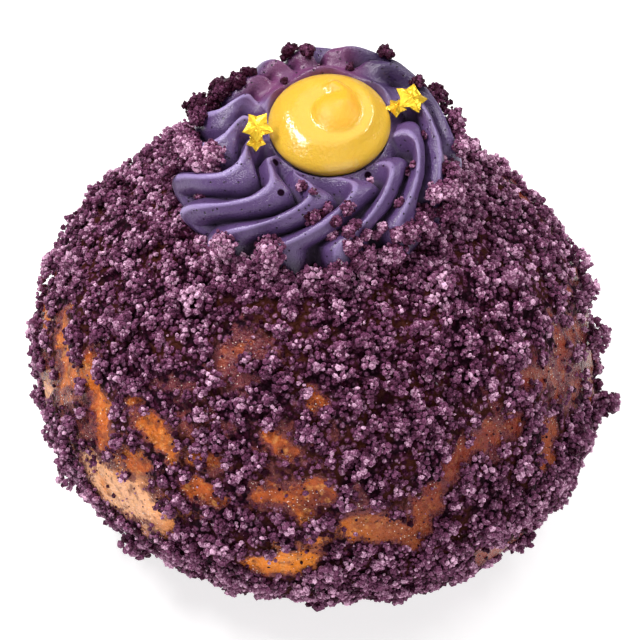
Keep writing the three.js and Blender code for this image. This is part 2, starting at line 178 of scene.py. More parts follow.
# Crumb clumps on the cream: azimuth, share along its skin, and radius
CREAM_CLUMPS = [
    (118, 0.27, 2.5), (114, 0.28, 1.6), (121, 0.26, 1.6), (123, 0.33, 1.4), (121, 0.42, 1.1),
    (99, 0.31, 2.2), (103, 0.22, 1.9), (90, 0.26, 1.6), (85, 0.20, 1.9), (82, 0.28, 1.8),
    (77, 0.22, 1.9), (72, 0.28, 1.9), (70, 0.20, 2.0), (65, 0.25, 1.9), (62, 0.18, 1.9),
    (60, 0.29, 1.6), (56, 0.21, 1.8), (50, 0.15, 1.8), (46, 0.23, 1.7), (39, 0.23, 1.7),
    (34, 0.17, 1.6), (34, 0.25, 1.2), (32, 0.16, 1.7), (30, 0.29, 0.75), (28, 0.26, 0.7),
    (22, 0.13, 1.5), (21, 0.20, 1.3), (20, 0.30, 0.8), (17, 0.18, 1.4), (16, 0.27, 0.8),
    (16, 0.34, 0.95), (14, 0.24, 1.0), (13, 0.32, 1.0), (12, 0.27, 0.8), (11, 0.43, 1.1),
    (9, 0.16, 2.1), (6, 0.38, 0.75), (6, 0.30, 1.0), (0, 0.46, 0.85), (-6, 0.41, 1.3),
    (-9, 0.50, 0.6), (-18, 0.55, 0.75), (-5, 0.10, 1.4), (-11, 0.13, 1.5), (-17, 0.17, 1.6),
    (-18, 0.23, 2.3), (-38, 0.18, 2.1), (-66, 0.20, 0.75), (-72, 0.34, 1.7), (-74, 0.38, 1.9),
    (-77, 0.32, 1.8), (-81, 0.23, 1.9), (-83, 0.31, 1.8), (-84, 0.15, 2.0), (-88, 0.28, 1.9),
    (-89, 0.20, 2.0), (-93, 0.25, 1.9), (-97, 0.19, 2.1), (-99, 0.12, 2.0), (-104, 0.22, 2.1),
    (-104, 0.31, 1.8), (-110, 0.28, 2.4), (-117, 0.30, 2.5), (-119, 0.36, 1.8), (-124, 0.31, 1.8),
    (-123, 0.42, 1.4), (-127, 0.45, 1.2), (-138, 0.27, 1.7), (-160, 0.43, 1.4), (-167, 0.50, 1.1),
    (148, 0.36, 1.3), (164, 0.56, 0.6), (31, 0.57, 0.5), (41, 0.36, 0.7), (56, 0.49, 0.5),
    (60, 0.46, 0.5), (84, 0.48, 0.6), (-174, 0.57, 0.5), (-140, 0.58, 0.5),
]
# Grains in a clump on the cream, by the span that its radius lies in
CREAM_KINDS = ((0, 0.7, 6), (0.7, 1.2, 34), (1.2, 1.75, 84), (1.75, 9, 150))
CREAM_GRAIN = (0.25, 0.48)
CREAM_STAND = 0.3
CREAM_STRAY = 0.12
# Painted shade: the clumps behind are darker, by that share over that span on Y
BEHIND_PAINTED_SHADE = (1.0, 0.5)
BEHIND_SPAN = (0, 6)

# The rosette
RIDGES = 14
RIDGE_DEPTH = 3.2
RIDGE_SKEW = -0.68
SWIRL_MIDDLE = (-1.5, 1.0)
SWIRL_SPAN = (9, 21)
SWIRL_TURNS = (-63, -53, -48.5, -51.5, -61.5, -76, -91.5)
# Where the ridges end along the skin, and how much earlier behind the hollow
RIM_FADE = (0.6, 0.65)
RIM_SHIFT = 0.09
FOLD_AZIMUTHS = (math.radians(92), math.radians(125))
FOLD_PLACE = 0.603
FOLD_WIDTH = 0.02
FOLD_HEIGHT = 1.2
FOLD_WAVES = 6
FOLD_WAVINESS = 0.45
DIP_DEPTH = 0.7
DIP_OFFSET = 0.055
DIP_WIDTH = 0.025
SQUEEZE = 0.09
SQUEEZE_FADE = (0.35, 0.6)
SQUEEZE_AZIMUTH = math.radians(-135)
TIP_RADIUS = 21.2
SEAT_RADIUS = TIP_RADIUS - 1.6
SHOULDER_RADIUS = 13.2
SHOULDER_HEIGHT = 8.3
COLLAR_RADIUS = 8.8
COLLAR_HEIGHT = 6.7
HOLLOW_HEIGHT = 4.1
HOLLOW_SHIFT = 1.6
SEAT_SHIFT = -1.0
EDGE_LEAN = math.tan(math.radians(7))
MIDDLE_LEAN = math.tan(math.radians(12.5))
SHOULDER_SHARE = 4 / 8
COLLAR_SHARE = 5 / 8
ROSETTE_COLUMNS = 28 * RIDGES
ROSETTE_ROWS = 130
UNEVEN_START = (0, 0.06)
UNEVEN_END = (0.6, 0.7)
CRUST_EDGE = (TIP_RADIUS - 4, TIP_RADIUS)

# Small holes in the cream, at places over the floor, painted black with no reflection as the shade inside a
# hole; the skin has no hole there
PITS = ((-6.0, -6.1, 64.1), (-5.2, -12.4, 63.6), (7.0, -7.5, 62.9))
PIT_RADIUS = 0.55

# The custard
DROP_RADIUS = 8.7
BULGE_HEIGHT = 7.55
DROP_CREST = 10.3
NUB_RADIUS = 3.4
NUB_RISE = 1.6
NUB_SHIFT = (1.1, -0.8)
NUB_SPAN = (0.4, 0.65)
NUB_SHADE = (0, 0.6 * NUB_RISE)
# The tail that the nub runs out to: places on X and Y about the drop's axis, then its half width and its rise
# at both ends
TAIL = [(2.2, -0.3), (2.3, 1.2), (1.7, 2.6), (0.6, 3.9)]
TAIL_HALF = (1.7, 1.0)
TAIL_RISE = (1.6, 0.85)
TAIL_SPAN = (0.4, 0.5)
TAIL_STEPS = 40
DROP_COLUMNS = 96
DROP_ROWS = 90

# The foil stars: place over the floor, turn in degrees about X, Y and Z, and radius
STARS = {
    "gold_star_left": ((-8.5, -3.45, 68.35), (46, -12, 0), 2.3),
    "gold_star_left_under": ((-8.7, -4.2, 66.35), (44, -10, 0), 1.5),
    "gold_star_right": ((13.2, 3.4, 68.2), (22, 12, 26), 2.5),
    "gold_star_right_under": ((11.1, 2.4, 67.5), (24, -10, 70), 1.6),
}
STAR_POINTS = 5
STAR_COLUMNS = 20
STAR_RINGS = 3
STAR_NOTCH = 0.64
STAR_CROWN = 0.55
STAR_BEND = 0.7
STAR_FACET = 0.5
FOIL = 0.3
FOIL_RIM = 0.4
FOIL_CREASES = (0.05, 1.6)


# Plain helpers on arrays
def smooth(low, high, value):
    """0 below low, 1 above high, and the cubic ease 3s² - 2s³ between them."""
    share = np.clip((value - low) / (high - low), 0, 1)
    return share * share * (3 - 2 * share)


def draw(number, stream):
    """Scattered values from 0 to 1: the fraction of a large multiple of a sine of the number."""
    return np.mod(np.sin(number * 12.9898 + stream * 78.233) * 43758.5453, 1.0)


def between(span, share):
    """The value that lies that share of the way along a span."""
    return span[0] + (span[1] - span[0]) * share


def spot(azimuth, radius, height):
    """A point at an azimuth, a distance from the axis and a height."""
    return np.stack(np.broadcast_arrays(radius * np.sin(azimuth), -radius * np.cos(azimuth), height), -1)


def unit(vectors):
    """The same directions at length 1."""
    return vectors / np.linalg.norm(vectors, axis=-1, keepdims=True)


def ripple(points, wavelength, seed, waves=8):
    """Smooth noise about 0: sine waves of about that wavelength, each in its own direction, added up."""
    random = np.random.default_rng(seed)
    directions = unit(random.normal(size=(waves, 3)))
    lengths = wavelength * random.uniform(0.7, 1.4, (waves, 1))
    phases = random.uniform(0, FULL_TURN, waves)
    turns = points @ (directions * 2 * math.pi / lengths).T + phases
    return np.sin(turns).sum(-1) / math.sqrt(waves)


def layered(points, layers):
    """Noise added up from layers that have a depth, a wavelength and a seed each."""
    return sum(depth * ripple(points, wavelength, seed) for depth, wavelength, seed in layers)


def spline(corners, share):
    """A Catmull-Rom curve: between two corners a cubic that leaves each along its neighbours' chord."""
    corners = np.asarray(corners, float)
    padded = np.concatenate([corners[:1], corners, corners[-1:]])
    place = np.clip(share, 0, 1) * (len(corners) - 1)
    start = np.minimum(place.astype(int), len(corners) - 2)
    rest = (place - start)[..., None]
    before, here, there, after = (padded[start + step] for step in range(4))
    leaving = (there - before) / 2
    arriving = (after - here) / 2
    cubic = 2 * here - 2 * there + leaving + arriving
    square = -3 * here + 3 * there - 2 * leaving - arriving
    return ((cubic * rest + square) * rest + leaving) * rest + here


def outward(surface, first, second):
    """The direction straight out of a surface: the cross product of two small steps along it."""
    step = 0.001
    here = surface(first, second)
    return unit(np.cross(surface(first + step, second) - here, surface(first, second + step) - here))


# Meshes
def turned_triangles(rows, columns):
    """Triangles of a closed turned skin: a fan at each pole, and two for each cell between two rings.

    Point 0 is the lower pole, then come rows rings of columns points, and the last point is the upper pole.
    """
    here = np.arange(columns)
    after = (here + 1) % columns
    ring = 1 + columns * np.arange(rows - 1)[:, None]
    low_here, low_after = ring + here, ring + after
    up_here, up_after = low_here + columns, low_after + columns
    cells = np.stack([low_here, low_after, up_after, low_here, up_after, up_here], -1).reshape(-1, 3)
    top = 1 + columns * (rows - 1)
    foot = np.stack([np.zeros_like(here), 1 + after, 1 + here], -1)
    crown = np.stack([top + here, top + after, np.full_like(here, 1 + columns * rows)], -1)
    return np.concatenate([foot, cells, crown])


def closed_skin(lower_pole, rings, upper_pole):
    """The points of a turned skin in the order that turned_triangles reads them."""
    return np.concatenate([[lower_pole], rings.reshape(-1, 3), [upper_pole]])


def add_piece(name, points, triangles, finish, stands_for, shares=None, rounded=True):
    """A mesh with named values on its points, which rides on the doughnut's one body."""
    mesh = bpy.data.meshes.new(name)
    mesh.vertices.add(len(points))
    mesh.vertices.foreach_set("co", (points * MM).astype(np.float32).ravel())
    mesh.loops.add(triangles.size)
    mesh.loops.foreach_set("vertex_index", triangles.astype(np.int32).ravel())
    mesh.polygons.add(len(triangles))
    mesh.polygons.foreach_set("loop_start", np.arange(0, triangles.size, 3, dtype=np.int32))
    mesh.update(calc_edges=True)
    mesh.polygons.foreach_set("use_smooth", np.full(len(triangles), rounded))
    for label, values in (shares or {}).items():
        layer = mesh.attributes.new(label, "FLOAT", "POINT")
        layer.data.foreach_set("value", values.astype(np.float32).ravel())
    mesh.materials.append(finish)
    piece = bpy.data.objects.new(name, mesh)
    scene.collection.objects.link(piece)
    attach(piece, "root")
    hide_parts(stands_for)


# The dough's shape
def dough_profile(latitude):
    """Radius and height: a circle squared off by a fullness F, |cos|^(2/F) wide and |sin|^(2/F) high."""
    rise = np.sin(latitude)
    bend = 2 / np.where(rise > 0, DOME_FULLNESS, BELLY_FULLNESS)
    span = np.where(rise > 0, DOME_RISE, BELLY_DEPTH)
    height = WAIST_HEIGHT + span * np.sign(rise) * np.abs(rise) ** bend
    return DOUGH_RADIUS * np.abs(np.cos(latitude)) ** bend, np.maximum(0, height)


def dough_point(azimuth, latitude):
    """The bare dough: the profile turned about the axis, a little out of round, its foot moved aside."""
    radius, height = dough_profile(latitude)
    free = 1 - smooth(*WAVE_FADE, height)
    wave = WAVE * free * (np.sin(2 * azimuth + WAVE_TWIST * height) + 0.5 * np.sin(5 * azimuth - 1))
    point = spot(azimuth, radius * (1 + wave), height)
    sag = (1 - smooth(*SAG_FADE, height))[..., None] * np.array((*FOOT_SHIFT, 0))
    point[..., 0] -= SIDE_SHIFT * (1 - smooth(*SIDE_FADE, height))
    return point + sag


def latitude_at(height):
    """The latitude at which the dough's profile has that height."""
    offset = np.asarray(height, float) - WAIST_HEIGHT
    share = offset / np.where(offset > 0, DOME_RISE, BELLY_DEPTH)
    fullness = np.where(offset > 0, DOME_FULLNESS, BELLY_FULLNESS)
    return np.arcsin(np.sign(share) * np.abs(share) ** (fullness / 2))


def dome_height(radius):
    """The height of the bare dome at a distance from its axis."""
    return WAIST_HEIGHT + DOME_RISE * (1 - (radius / DOUGH_RADIUS) ** DOME_FULLNESS) ** (1 / DOME_FULLNESS)


def cover_share(points):
    """How far a place is under crumbs: 0 along the middle of a bare strip and 1 away from all of them.

    Noise is added to the distance from a strip's middle line, so that its edge is ragged.
    """
    ragged = layered(points, RAGGED_EDGES)
    cover = np.ones(points.shape[:-1])
    for turn in BARE_TURNS:
        for start, end, half in BARE_STRIPS:
            ends = np.array([start, end], float)
            first, last = dough_point(np.radians(ends[:, 0] + turn), latitude_at(ends[:, 1]))
            along = np.clip((points - first) @ (last - first) / np.sum((last - first) ** 2), 0, 1)
            away = np.linalg.norm(points - first - along[..., None] * (last - first), axis=-1)
            low, high = STRIP_EDGE[0] * half, STRIP_EDGE[1] * half + STRIP_MARGIN
            cover = np.minimum(cover, smooth(low, high, away + ragged))
        for (azimuth, height), reach, share in THIN_PLACES:
            middle = dough_point(np.radians(azimuth + turn), latitude_at(height))
            near = np.exp(-np.sum((points - middle) ** 2, -1) / reach**2)
            cover = np.minimum(cover, 1 - share * near * (1 + THIN_RAGGEDNESS * ragged))
    return np.clip(cover, 0, 1)


def crumb_bed(points):
    """How far the bed of crumbs stands over the dough: mounds parted by creases, from noise without sign."""
    mounds = (depth * np.abs(ripple(points, wavelength, seed)) for depth, wavelength, seed in BED_MOUNDS)
    return sum(mounds, BED_FLOOR)


def make_crust(finish):
    """The fried crust: the bare dough with soft dents and wrinkles, and the crumb bed where it is covered."""
    lowest = latitude_at(0.0)
    latitude = np.linspace(lowest, math.pi / 2, CRUST_ROWS + 1)[:-1, None]
    azimuth = np.linspace(0, FULL_TURN, CRUST_COLUMNS, endpoint=False)[None, :]
    rings = dough_point(azimuth, latitude)
    cover = cover_share(rings)
    away = np.hypot(rings[..., 0], rings[..., 1])
    lift = smooth(*RELIEF_START, rings[..., 2]) * smooth(*CRUST_EDGE, away)
    relief = layered(rings, CRUST_RELIEF) + cover * crumb_bed(rings)
    rings = rings + (lift * relief)[..., None] * outward(dough_point, azimuth, latitude)
    points = closed_skin((FOOT_SHIFT[0] - SIDE_SHIFT, FOOT_SHIFT[1], 0), rings, (0, 0, TOP_HEIGHT))
    covers = np.concatenate([[0], cover.ravel(), [0]])
    triangles = turned_triangles(CRUST_ROWS, CRUST_COLUMNS)
    add_piece("crust", points, triangles, finish, "dough", {"cover": covers})


# The crumbs
def grain_form():
    """Corners and triangles of one grain: two poles and two rings of four, the rings turned half a step.

    Corner 0 is the upper pole, 1 to 4 and 5 to 8 are the rings, and 9 is the lower pole.
    """
    ring_height, ring_radius = 0.38, 0.92
    quarter = np.arange(4)
    upper = spot(quarter * math.pi / 2, ring_radius, ring_height)
    lower = spot((quarter + 0.5) * math.pi / 2, ring_radius, -ring_height)
    corners = np.concatenate([[(0, 0, 1)], upper, lower, [(0, 0, -1)]])
    after = (quarter + 1) % 4
    fans = [
        np.stack([np.zeros_like(quarter), 1 + quarter, 1 + after], -1),
        np.stack([1 + quarter, 5 + quarter, 1 + after], -1),
        np.stack([1 + after, 5 + quarter, 5 + after], -1),
        np.stack([np.full_like(quarter, 9), 5 + after, 5 + quarter], -1),
    ]
    return corners, np.concatenate(fans)


def dust_form():
    """Corners and triangles of the smallest grains: an octahedron."""
    corners = np.array([(0, 0, 1), (1, 0, 0), (0, 1, 0), (-1, 0, 0), (0, -1, 0), (0, 0, -1)], float)
    quarter = np.arange(4)
    after = (quarter + 1) % 4
    upper = np.stack([np.zeros_like(quarter), 1 + quarter, 1 + after], -1)
    lower = np.stack([np.full_like(quarter, 5), 1 + after, 1 + quarter], -1)
    return corners, np.concatenate([upper, lower])


def random_turns(random, count):
    """Rotation matrices in every direction alike, from unit quaternions."""
    w, x, y, z = unit(random.normal(size=(count, 4))).T
    rows = [
        [1 - 2 * (y * y + z * z), 2 * (x * y - w * z), 2 * (x * z + w * y)],
        [2 * (x * y + w * z), 1 - 2 * (x * x + z * z), 2 * (y * z - w * x)],
        [2 * (x * z - w * y), 2 * (y * z + w * x), 1 - 2 * (x * x + y * y)],
    ]
    return np.moveaxis(np.array(rows), -1, 0)


def make_grains(name, middles, radii, tones, stands_for, finish, seed, form=grain_form):
    """One joined mesh of grains, each stretched and turned at random, its corners drawn in or out."""
    random = np.random.default_rng(seed)
    corners, triangles = form()
    stretched = corners * random.uniform(*GRAIN_STRETCH, (len(middles), 1, 3))
    uneven = random.uniform(*GRAIN_UNEVENNESS, (len(middles), len(corners), 1))
    shapes = np.einsum("nij,nvj->nvi", random_turns(random, len(middles)), stretched) * uneven
    points = middles[:, None] + radii[:, None, None] * shapes
    joined = triangles[None] + len(corners) * np.arange(len(middles))[:, None, None]
    points, joined = points.reshape(-1, 3), joined.reshape(-1, 3)
    shares = {"tone": np.repeat(tones, len(corners))}
    add_piece(name, points, joined, finish, stands_for, shares, rounded=False)


def clump_grains(random, middles, directions, radii, grains, grain_radius, stray=STRAY):
    """Grains over the outer part of balls: a golden spiral about each ball's direction, a little astray.

    Returns the middles, radii and tones of all the grains. A tone is chance, plus painted light that makes a
    ball's top lighter.
    """
    number = np.arange(grains)
    cosine = 1 - CLUMP_SPAN * (number + 0.5) / grains
    turn = number * GOLDEN_TURN + random.uniform(0, FULL_TURN, (len(middles), 1))
    sine = np.sqrt(1 - cosine**2)
    across = unit(np.cross(directions, unit(random.normal(size=directions.shape))))
    along = np.cross(directions, across)
    flat = (sine * np.cos(turn))[..., None] * across[:, None]
    flat = flat + (sine * np.sin(turn))[..., None] * along[:, None]
    away = flat + (CLUMP_HEIGHT * cosine)[:, None] * directions[:, None]
    away = away + stray * np.clip(random.normal(size=away.shape), -STRAY_LIMIT, STRAY_LIMIT)
    reach = radii[:, None, None] * random.uniform(*GRAIN_REACH, (len(middles), grains, 1))
    places = middles[:, None] + reach * away
    sizes = between(grain_radius, random.uniform(size=(len(middles), grains)) ** SIZE_POWER)
    shared = CLUMP_TONE * random.uniform(size=(len(middles), 1))
    own = GRAIN_TONE * random.uniform(size=(len(middles), grains))
    # Painted light: the grains on a ball's top are made lighter
    tones = shared + own + TOP_PAINTED_LIGHT * np.clip(cosine, 0, 1)
    return places.reshape(-1, 3), sizes.ravel(), tones.ravel()


def spiral_spots(count):
    """Azimuths and latitudes of points spread evenly over a ball, on a golden spiral."""
    number = np.arange(count)
    return number * GOLDEN_TURN, np.arcsin(1 - 2 * (number + 0.5) / count)


def clear_of_rosette(points, radii):
    """True where a clump of that radius doesn't reach far under the rosette's outer edge."""
    return np.hypot(points[:, 0] - SEAT_SHIFT, points[:, 1]) > SEAT_RADIUS + CLEARANCE * radii


def make_clumps(name, count, radius, grains, grain_radius, seed, finish):
    """A kind of clump on a golden spiral over the dough, less bare crust, floor and rosette."""
    random = np.random.default_rng(seed)
    azimuth, latitude = spiral_spots(count)
    spacing = math.sqrt(4 * math.pi / count)
    sideways = random.uniform(*WIDE_JITTER, count)
    azimuth = azimuth + spacing * sideways / np.maximum(LEAST_COSINE, np.cos(latitude))
    upwards = random.uniform(*JITTER, count)
    latitude = np.clip(latitude + spacing * upwards, *LATITUDES)
    base = dough_point(azimuth, latitude)
    shrunk = between(LOW_SIZE, smooth(*LOW_SPAN, base[:, 2]))
    radii = between(radius, random.uniform(size=count) ** CLUMP_POWER) * shrunk
    kept = cover_share(base) > LEAST_COVER + COVER_CHANCE * random.uniform(size=count)
    kept |= random.uniform(size=count) < BARE_CLUMPS
    kept &= base[:, 2] > CLUMP_FLOOR
    kept &= clear_of_rosette(base, radii)
    base, radii = base[kept], radii[kept]
    directions = outward(dough_point, azimuth[kept], latitude[kept])
    stand = CLUMP_BED * crumb_bed(base) + radii * random.uniform(*CLUMP_STAND, len(radii))
    middles = base + stand[:, None] * directions
    places, sizes, tones = clump_grains(random, middles, directions, radii, grains, grain_radius)
    clear = places[:, 2] > sizes + FLOOR_GAP
    make_grains(name, places[clear], sizes[clear], tones[clear], "dough", finish, seed + 1)


def make_large_clumps(finish):
    """The largest clumps, spread as in the solids, with the spurs at the right."""
    number = np.arange(LARGE_SPOTS)
    azimuth, latitude = spiral_spots(LARGE_SPOTS)
    azimuth = azimuth + LARGE_JITTER * draw(number, 1)
    radii = between(LARGE_RADIUS, draw(number, 2) ** 2)
    base = dough_point(azimuth, latitude)
    kept = (base[:, 2] > CRUMB_FLOOR) & clear_of_rosette(base, radii) & (cover_share(base) > LARGE_COVER)
    spur_azimuths, spur_heights, spur_radii, spur_stands = np.array(SPURS).T
    azimuth = np.append(azimuth[kept], np.radians(spur_azimuths))
    latitude = np.append(latitude[kept], latitude_at(spur_heights))
    stand = np.append(LARGE_STAND * radii[kept], spur_stands)
    radii = np.append(radii[kept], spur_radii)
    directions = outward(dough_point, azimuth, latitude)
    middles = dough_point(azimuth, latitude) + stand[:, None] * directions
    random = np.random.default_rng(40)
    grains = clump_grains(random, middles, directions, radii, *LARGE_GRAINS)
    make_grains("crumb_clumps_large", *grains, "dough", finish, 41)


def make_foot_clumps(finish):
    """Clumps heaped against the foot of the rosette, all round it."""
    random = np.random.default_rng(44)
    sideways = random.uniform(*JITTER, FOOT_CLUMPS)
    azimuth = FULL_TURN * (np.arange(FOOT_CLUMPS) + sideways) / FOOT_CLUMPS
    latitude = latitude_at(dome_height(between(FOOT_REACH, random.uniform(size=FOOT_CLUMPS))))
    radii = between(FOOT_RADIUS, random.uniform(size=FOOT_CLUMPS) ** SIZE_POWER)
    directions = outward(dough_point, azimuth, latitude)
    middles = dough_point(azimuth, latitude) + (FOOT_STAND * radii)[:, None] * directions
    grains = clump_grains(random, middles, directions, radii, *FOOT_GRAINS)
    make_grains("crumb_clumps_foot", *grains, "dough", finish, 45)


def make_cream_clumps(finish):
    """The clumps on the cream at their places, the larger ones of more grains, and those behind darker with
    painted shade.
    """
    random = np.random.default_rng(46)
    azimuth, along, radii = np.array(CREAM_CLUMPS).T
    azimuth = np.radians(azimuth)
    directions = outward(rosette_point, azimuth, along)
    middles = rosette_point(azimuth, along) + (CREAM_STAND * radii)[:, None] * directions
    heaps = []
    for low, high, grains in CREAM_KINDS:
        kind = (radii >= low) & (radii < high)
        balls = (middles[kind], directions[kind], radii[kind])
        heaps.append(clump_grains(random, *balls, grains, CREAM_GRAIN, CREAM_STRAY))
    places, sizes, tones = (np.concatenate(parts) for parts in zip(*heaps))
    # Painted shade on the clumps behind
    tones = tones * between(BEHIND_PAINTED_SHADE, smooth(*BEHIND_SPAN, places[:, 1]))
    make_grains("crumb_clumps_on_cream", places, sizes, tones, "rosette", finish, 47)


def make_single_grains(name, count, size, bare_share, seed, form, finish):
    """Single grains all over the dough, fewer on the bare strips, each sunk in a little and darker with
    painted shade.
    """
    random = np.random.default_rng(seed)
    azimuth, latitude = spiral_spots(count)
    azimuth = azimuth + random.uniform(0, SINGLE_JITTER, count)
    base = dough_point(azimuth, latitude)
    sizes = between(size, random.uniform(size=count) ** SINGLE_POWER)
    cover = cover_share(base)
    kept = random.uniform(size=count) < bare_share + (1 - bare_share) * cover
    kept &= (base[:, 2] > GRAIN_FLOOR) & clear_of_rosette(base, sizes)
    directions = outward(dough_point, azimuth[kept], latitude[kept])
    stand = (SINGLE_BED * cover * crumb_bed(base) + SINGLE_STAND * sizes)[kept]
    middles = base[kept] + stand[:, None] * directions
    # Painted shade: the single grains' tones are kept low
    tones = SINGLE_SHADED_TONE * random.uniform(size=len(middles))
    make_grains(name, middles, sizes[kept], tones, "dough", finish, seed + 1, form)


# The rosette
# Corners of its crest line from the foot inwards: distance from the axis and height
ROSETTE_SKIN = [
    (SEAT_RADIUS, dome_height(SEAT_RADIUS) - TOP_HEIGHT + GAP),
    (TIP_RADIUS, -0.9),
    (TIP_RADIUS - 1.3, 3.3),
    (TIP_RADIUS - 4.2, 6.6),
    (SHOULDER_RADIUS, SHOULDER_HEIGHT),
    (COLLAR_RADIUS, COLLAR_HEIGHT),
    (COLLAR_RADIUS - 0.7, COLLAR_HEIGHT - 1.3),
    (0.5 * COLLAR_RADIUS, HOLLOW_HEIGHT),
    (0, HOLLOW_HEIGHT),
]


def rosette_plan(azimuth, along):
    """Where the crest line stands at an azimuth, seen from above, its outer part drawn in on one side."""
    around = (0.5 + 0.5 * np.cos(azimuth - SQUEEZE_AZIMUTH)) ** 3
    drawn_in = SQUEEZE * (1 - smooth(*SQUEEZE_FADE, along)) * around
    plan = spot(azimuth, spline(ROSETTE_SKIN, along)[..., 0] * (1 - drawn_in), 0)
    plan[..., 0] += between((SEAT_SHIFT, HOLLOW_SHIFT), smooth(0, COLLAR_SHARE, along))
    return plan


def behind_share(azimuth):
    """0 in front of the hollow and at its sides, and 1 behind it."""
    aside = np.abs(np.mod(azimuth + math.pi, FULL_TURN) - math.pi)
    return smooth(*FOLD_AZIMUTHS, aside)


def fold_height(azimuth, along):
    """The fold of cream that hugs the custard from behind: a wavy bell over the collar, a dip outside it."""
    bell = FOLD_HEIGHT * np.exp(-(((along - FOLD_PLACE) / FOLD_WIDTH) ** 2))
    dip = DIP_DEPTH * np.exp(-(((along - FOLD_PLACE + DIP_OFFSET) / DIP_WIDTH) ** 2))
    return behind_share(azimuth) * (bell - dip) * (1 + FOLD_WAVINESS * np.sin(FOLD_WAVES * azimuth + 1))


def groove_share(azimuth, along):
    """How deep a place lies between two ridges: 0 on a crest, 1 in the crease, and 0 from the rim inwards.

    The crests swirl about a middle of their own, where a crest's azimuth is a curve of the distance. The
    share is the mean of half of 1 - cos of the ridge phase and of 1 - |cos| of half of it. A cosine in the
    phase makes the left flanks steeper.
    """
    offset = rosette_plan(azimuth, along)[..., :2] - SWIRL_MIDDLE
    away = (np.hypot(offset[..., 0], offset[..., 1]) - SWIRL_SPAN[0]) / (SWIRL_SPAN[1] - SWIRL_SPAN[0])
    crest = np.radians(spline(np.array(SWIRL_TURNS, float)[:, None], away)[..., 0])
    turn = RIDGES * (np.arctan2(offset[..., 0], -offset[..., 1]) - crest)
    phase = turn + RIDGE_SKEW * (1 - np.cos(turn))
    rope = 1 - np.abs(np.cos(phase / 2))
    wave = 0.5 - 0.5 * np.cos(phase)
    inside = along + RIM_SHIFT * behind_share(azimuth)
    return (rope + wave) / 2 * (1 - smooth(*RIM_FADE, inside))


def rosette_point(azimuth, along):
    """The cream's skin: the crest line turned about the axis, sunk into each groove and leaning forwards."""
    step = 0.001
    height = spline(ROSETTE_SKIN, along)[..., 1]
    tangent = unit(spline(ROSETTE_SKIN, np.minimum(1, along + step)) - spline(ROSETTE_SKIN, along - step))
    depth = RIDGE_DEPTH * groove_share(azimuth, along)
    sunk = spot(azimuth, -tangent[..., 1] * depth, TOP_HEIGHT + height + tangent[..., 0] * depth)
    point = rosette_plan(azimuth, along) + sunk
    lean = EDGE_LEAN * smooth(0, SHOULDER_SHARE / 4, along)
    lean = lean + (MIDDLE_LEAN - EDGE_LEAN) * smooth(SHOULDER_SHARE / 4, SHOULDER_SHARE, along)
    point[..., 2] += lean * point[..., 1] + fold_height(azimuth, along)
    seat = dome_height(np.hypot(point[..., 0], point[..., 1])) + GAP
    point[..., 2] = np.where(along <= 0, seat, np.maximum(seat, point[..., 2]))
    return point


def make_rosette(finish):
    """The piped cream, its skin with a faint unevenness of its own."""
    along = np.linspace(0, 1, ROSETTE_ROWS + 1)[:-1, None]
    azimuth = np.linspace(0, FULL_TURN, ROSETTE_COLUMNS, endpoint=False)[None, :]
    rings = rosette_point(azimuth, along)
    uneven = layered(rings, CREAM_RELIEF)
    lift = smooth(*UNEVEN_START, along) * (1 - smooth(*UNEVEN_END, along))
    rings = rings + (lift * uneven)[..., None] * outward(rosette_point, azimuth, along)
    pole = (HOLLOW_SHIFT, 0, TOP_HEIGHT + HOLLOW_HEIGHT)
    points = closed_skin((0, 0, TOP_HEIGHT + GAP), rings, pole)
    grooves = np.concatenate([[0], groove_share(azimuth, along).ravel(), [0]])
    inwards = np.concatenate([[0], np.broadcast_to(along, rings.shape[:2]).ravel(), [1]])
    triangles = turned_triangles(ROSETTE_ROWS, ROSETTE_COLUMNS)
    shares = {"groove": grooves, "inwards": inwards}
    add_piece("cream_rosette", points, triangles, finish, "rosette", shares)


# The custard
# Corners of its outline: steps from the bulge and from the crest, and shares of the nub's radius and rise
BULGE_CURVE = ((-1.0, -1.7), (-0.3, -0.8), (0, 0), (-0.35, 0.8), (-1.3, 1.65))
CREST_CURVE = ((-2.3, -0.4), (-3.2, -0.06), (-4.2, 0))
NUB_CURVE = ((1.12, 0), (1, 0.14), (0.87, 0.36), (0.7, 0.62), (0.48, 0.84), (0.24, 0.96), (0, 1))
DROP_OUTLINE = [
    (0, HOLLOW_HEIGHT + GAP),
    (0.5 * DROP_RADIUS, HOLLOW_HEIGHT + 1.5 * GAP),
    (DROP_RADIUS - 2.3, HOLLOW_HEIGHT + 0.95),
    *((DROP_RADIUS + out, BULGE_HEIGHT + up) for out, up in BULGE_CURVE),
    *((DROP_RADIUS + out, DROP_CREST + up) for out, up in CREST_CURVE),
    *((share * NUB_RADIUS, DROP_CREST + rise * NUB_RISE) for share, rise in NUB_CURVE),
]


def tail_rise(plan):
    """How far the tail stands over the drop's top: a rounded rope that gets narrower and lower."""
    share = np.linspace(0, 1, TAIL_STEPS)
    away = np.linalg.norm(plan[..., None, :] - spline(TAIL, share), axis=-1)
    return np.max(between(TAIL_RISE, share) * np.exp(-((away / between(TAIL_HALF, share)) ** 2)), axis=-1)


def top_rise(along, plan):
    """How far the nub and its tail stand over the drop's top: the cube root of their added cubes."""
    nub = np.maximum(0, spline(DROP_OUTLINE, along)[..., 1] - DROP_CREST)
    tail = smooth(*TAIL_SPAN, along) * tail_rise(plan)
    return np.cbrt(nub**3 + tail**3)


def custard_plan(azimuth, along):
    """Where the drop's skin stands seen from above, about its own axis, with the nub a little aside."""
    plan = spot(azimuth, spline(DROP_OUTLINE, along)[..., 0], 0)[..., :2]
    return plan + smooth(*NUB_SPAN, along)[..., None] * np.array(NUB_SHIFT)


